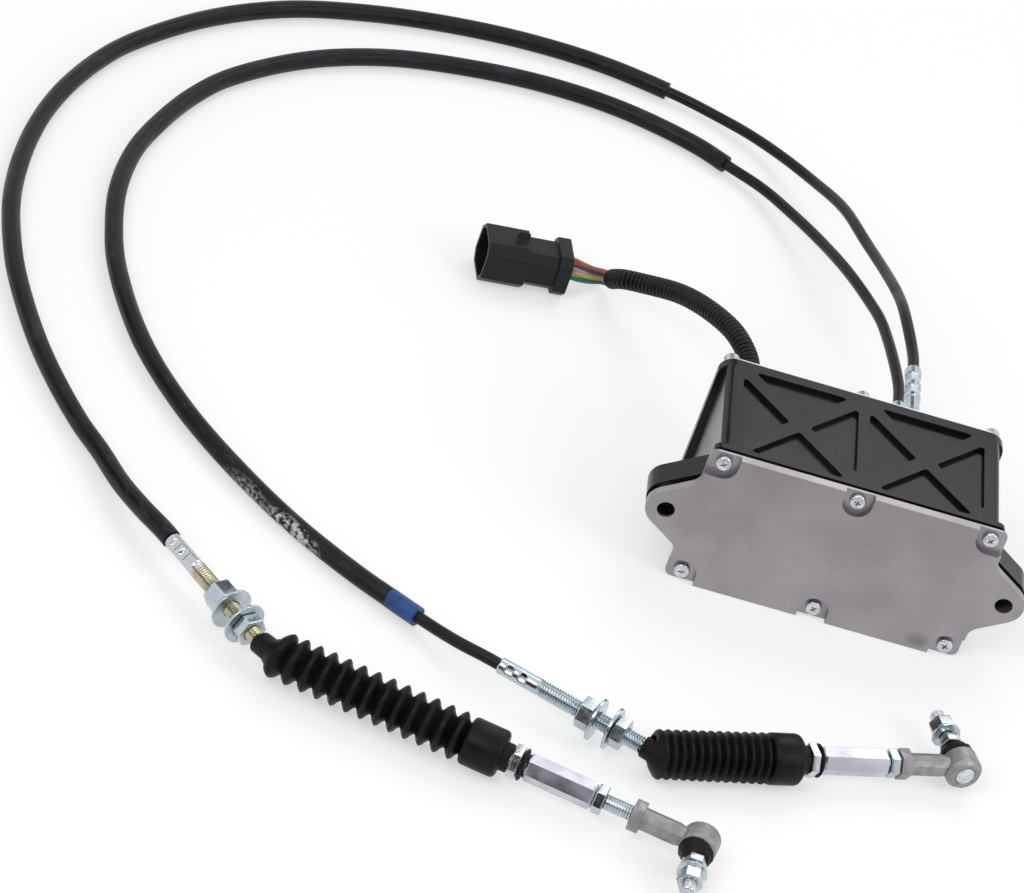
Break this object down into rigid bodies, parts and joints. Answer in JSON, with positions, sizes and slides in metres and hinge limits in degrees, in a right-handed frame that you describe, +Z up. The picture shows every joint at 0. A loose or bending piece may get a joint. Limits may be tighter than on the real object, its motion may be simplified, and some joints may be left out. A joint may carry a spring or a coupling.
{
  "type": "engine governor actuator",
  "caption": "Boxed motor actuator with two long push-pull cables, threaded clamp hubs, rubber bellows and ball-joint rod ends, and a short plugged lead.",
  "frame": {"origin": "bottom centre of the box and its two cable ferrules, without the cables and the lead", "axes": "+X along the box's long side, +Y from the cover plate to the cable exits, +Z up"},
  "size_m": [0.5993, 0.7804, 0.089],
  "materials": {
    "black_plastic": "moulded, slightly glossy",
    "stainless": "matt",
    "gasket": "matt",
    "zinc": "bright zinc plated",
    "yellow_zinc": "yellowish zinc plated",
    "cast_zinc": "satin cast",
    "rubber": "satin",
    "conduit": "satin",
    "sleeve": "satin with scuffs",
    "blue_band": "satin",
    "wires": "five coloured wires",
    "motor_can": "satin",
    "sensor_body": "satin",
    "gear_brass": "cut"
  },
  "bodies": {
    "base": {"housing": "black_plastic", "cover_plate": "stainless", "cover_gasket": "gasket", "back_plate": "stainless", "cover_screw_1": "zinc", "cover_screw_2": "zinc", "cover_screw_3": "zinc", "cover_screw_4": "zinc", "cover_screw_5": "zinc", "cover_screw_6": "zinc", "lead_grommet": "rubber", "ferrule_a": "zinc", "ferrule_b": "zinc", "lead_tube": "rubber", "lead_wires": "wires", "lead_plug": "black_plastic", "cable_a_conduit": "conduit", "cable_a_sleeve": "sleeve", "cable_b_conduit": "conduit", "cable_b_sleeve": "sleeve", "cable_b_band": "blue_band", "cable_b_end": "conduit", "hub_a": "yellow_zinc", "hub_b": "yellow_zinc", "clamp_nut_a1": "zinc", "clamp_nut_a2": "zinc", "washer_a1": "zinc", "washer_a2": "zinc", "clamp_nut_b1": "zinc", "clamp_nut_b2": "zinc", "washer_b1": "zinc", "washer_b2": "zinc", "gearmotor": "motor_can", "position_sensor": "sensor_body"},
    "crank": {"crank_shaft": "gear_brass"},
    "pinion": {"drive_pinion": "gear_brass"},
    "slide_a": {"yoke_a": "stainless"},
    "slide_b": {"yoke_b": "stainless"},
    "swivel_a": {"swivel_tube_a": "zinc", "bellows_a": "rubber"},
    "rod_a": {"push_rod_a": "zinc", "bellows_nut_a": "zinc", "seal_ring_a": "rubber", "hex_coupler_a": "zinc", "rod_nut_a": "zinc", "rod_end_a": "cast_zinc"},
    "boot_a": {"dust_boot_a": "rubber"},
    "stud_a": {"ball_stud_a": "zinc", "stud_nut_a": "zinc"},
    "swivel_b": {"swivel_tube_b": "zinc", "bellows_b": "rubber"},
    "rod_b": {"push_rod_b": "zinc", "bellows_nut_b": "zinc", "seal_ring_b": "rubber", "hex_coupler_b": "zinc", "rod_nut_b": "zinc", "rod_end_b": "cast_zinc"},
    "boot_b": {"dust_boot_b": "rubber"},
    "stud_b": {"ball_stud_b": "zinc", "stud_nut_b": "zinc"}
  },
  "joints": [
    {"name": "crank_turn", "type": "hinge", "parent": "base", "child": "crank", "pos_m": [0.018, -0.02605, 0.0445], "axis": [1, 0, 0], "range_deg": [0, 108]},
    {"name": "pinion_turn", "type": "hinge", "parent": "base", "child": "pinion", "pos_m": [0.0055, -0.04667, 0.0198], "axis": [1, 0, 0], "range_deg": [-316, 0]},
    {"name": "yoke_a_slide", "type": "slide", "parent": "base", "child": "slide_a", "axis": [0, 1, 0], "range_m": [-0.054, 0]},
    {"name": "yoke_b_slide", "type": "slide", "parent": "base", "child": "slide_b", "axis": [0, 1, 0], "range_m": [0, 0.054]},
    {"name": "swivel_a_turn", "type": "hinge", "parent": "base", "child": "swivel_a", "pos_m": [-0.29558, -0.25682, 0.0146], "axis": [0, 0, 1], "range_deg": [-35, 3], "deforming": ["bellows_a"]},
    {"name": "rod_a_slide", "type": "slide", "parent": "swivel_a", "child": "rod_a", "axis": [0.9707, -0.2402, 0], "range_m": [-0.054, 0], "deforming": ["bellows_a"]},
    {"name": "ball_a_tilt", "type": "hinge", "parent": "rod_a", "child": "boot_a", "pos_m": [-0.05678, -0.31592, 0.0146], "axis": [0, 0, 1], "range_deg": [-27, 12], "deforming": ["dust_boot_a"]},
    {"name": "stud_a_spin", "type": "hinge", "parent": "boot_a", "child": "stud_a", "pos_m": [-0.05678, -0.31592, 0.0146], "axis": [-0.1115, -0.9938, 0], "continuous": true},
    {"name": "swivel_b_turn", "type": "hinge", "parent": "base", "child": "swivel_b", "pos_m": [-0.08264, -0.25289, 0.0146], "axis": [0, 0, 1], "range_deg": [-42.9, 3], "deforming": ["bellows_b"]},
    {"name": "rod_b_slide", "type": "slide", "parent": "swivel_b", "child": "rod_b", "axis": [0.9379, 0.3469, 0], "range_m": [0, 0.054], "deforming": ["bellows_b"]},
    {"name": "ball_b_tilt", "type": "hinge", "parent": "rod_b", "child": "boot_b", "pos_m": [0.08383, -0.19131, 0.0146], "axis": [0, 0, 1], "range_deg": [-20, 20], "deforming": ["dust_boot_b"]},
    {"name": "stud_b_spin", "type": "hinge", "parent": "boot_b", "child": "stud_b", "pos_m": [0.08383, -0.19131, 0.0146], "axis": [-0.3469, 0.9379, 0], "continuous": true}
  ],
  "couplings": [
    {"joint": "pinion_turn", "follows": "crank_turn", "ratio": -2.9231},
    {"joint": "yoke_a_slide", "follows": "crank_turn", "m_per_rad": -0.028648},
    {"joint": "yoke_b_slide", "follows": "crank_turn", "m_per_rad": 0.028648},
    {"joint": "rod_a_slide", "follows": "crank_turn", "m_per_rad": -0.028648},
    {"joint": "rod_b_slide", "follows": "crank_turn", "m_per_rad": 0.028648}
  ]
}
